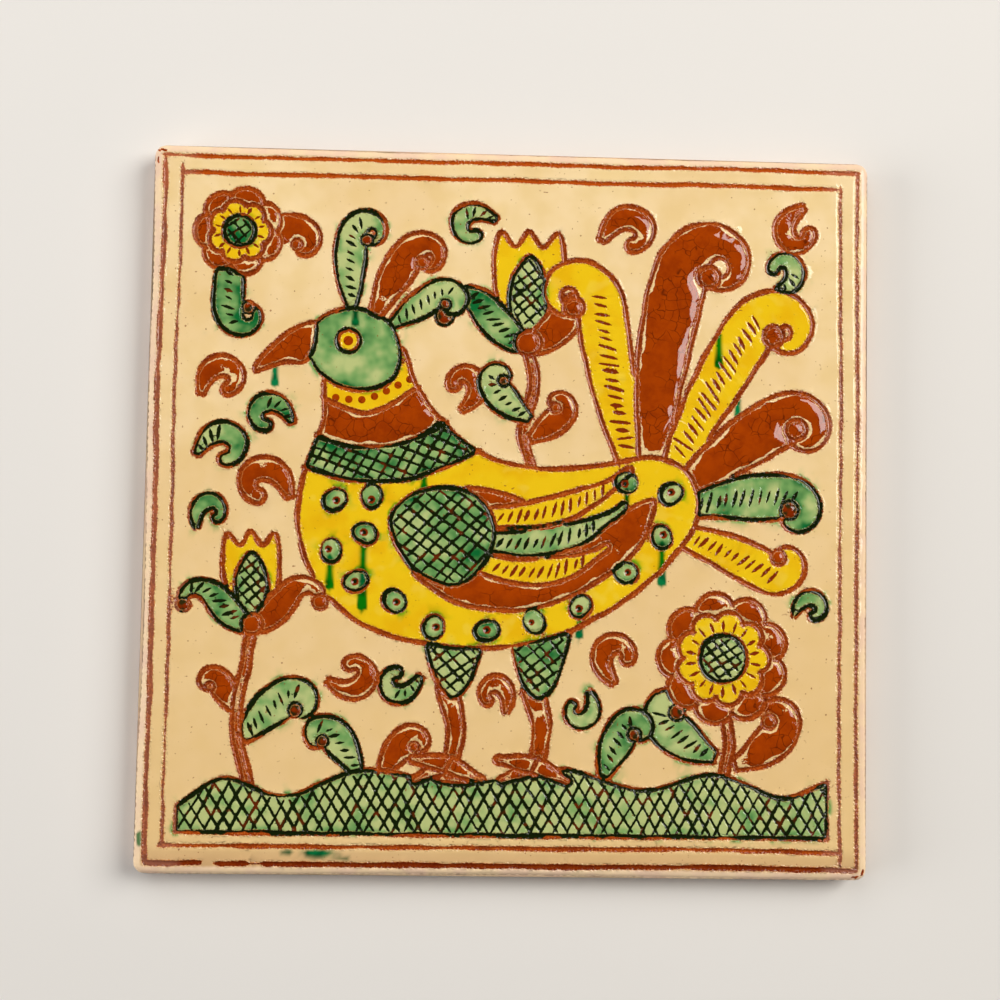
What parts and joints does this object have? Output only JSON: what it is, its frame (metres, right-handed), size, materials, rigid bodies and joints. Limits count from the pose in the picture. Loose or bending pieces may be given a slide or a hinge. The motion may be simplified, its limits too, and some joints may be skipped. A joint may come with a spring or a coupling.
{
  "type": "decorative ceramic wall tile",
  "caption": "Square hand-made ceramic tile with an incised, slip-painted folk picture under clear glaze, to hang on a wall or set in mortar.",
  "frame": {"origin": "centre of the flat back", "axes": "+X to the right along the picture's width, +Y towards its top edge, +Z out of the glazed face"},
  "size_m": [0.2, 0.2, 0.009],
  "materials": {
    "glazed_slip_face": "Cream slip over red clay under a glossy, slightly yellow clear glaze; lines incised to the clay; brown, yellow and green slips and washes; bare pale slip on the rim and bare red clay on the back."
  },
  "bodies": {
    "root": {"glazed_tile": "glazed_slip_face"}
  },
  "joints": []
}
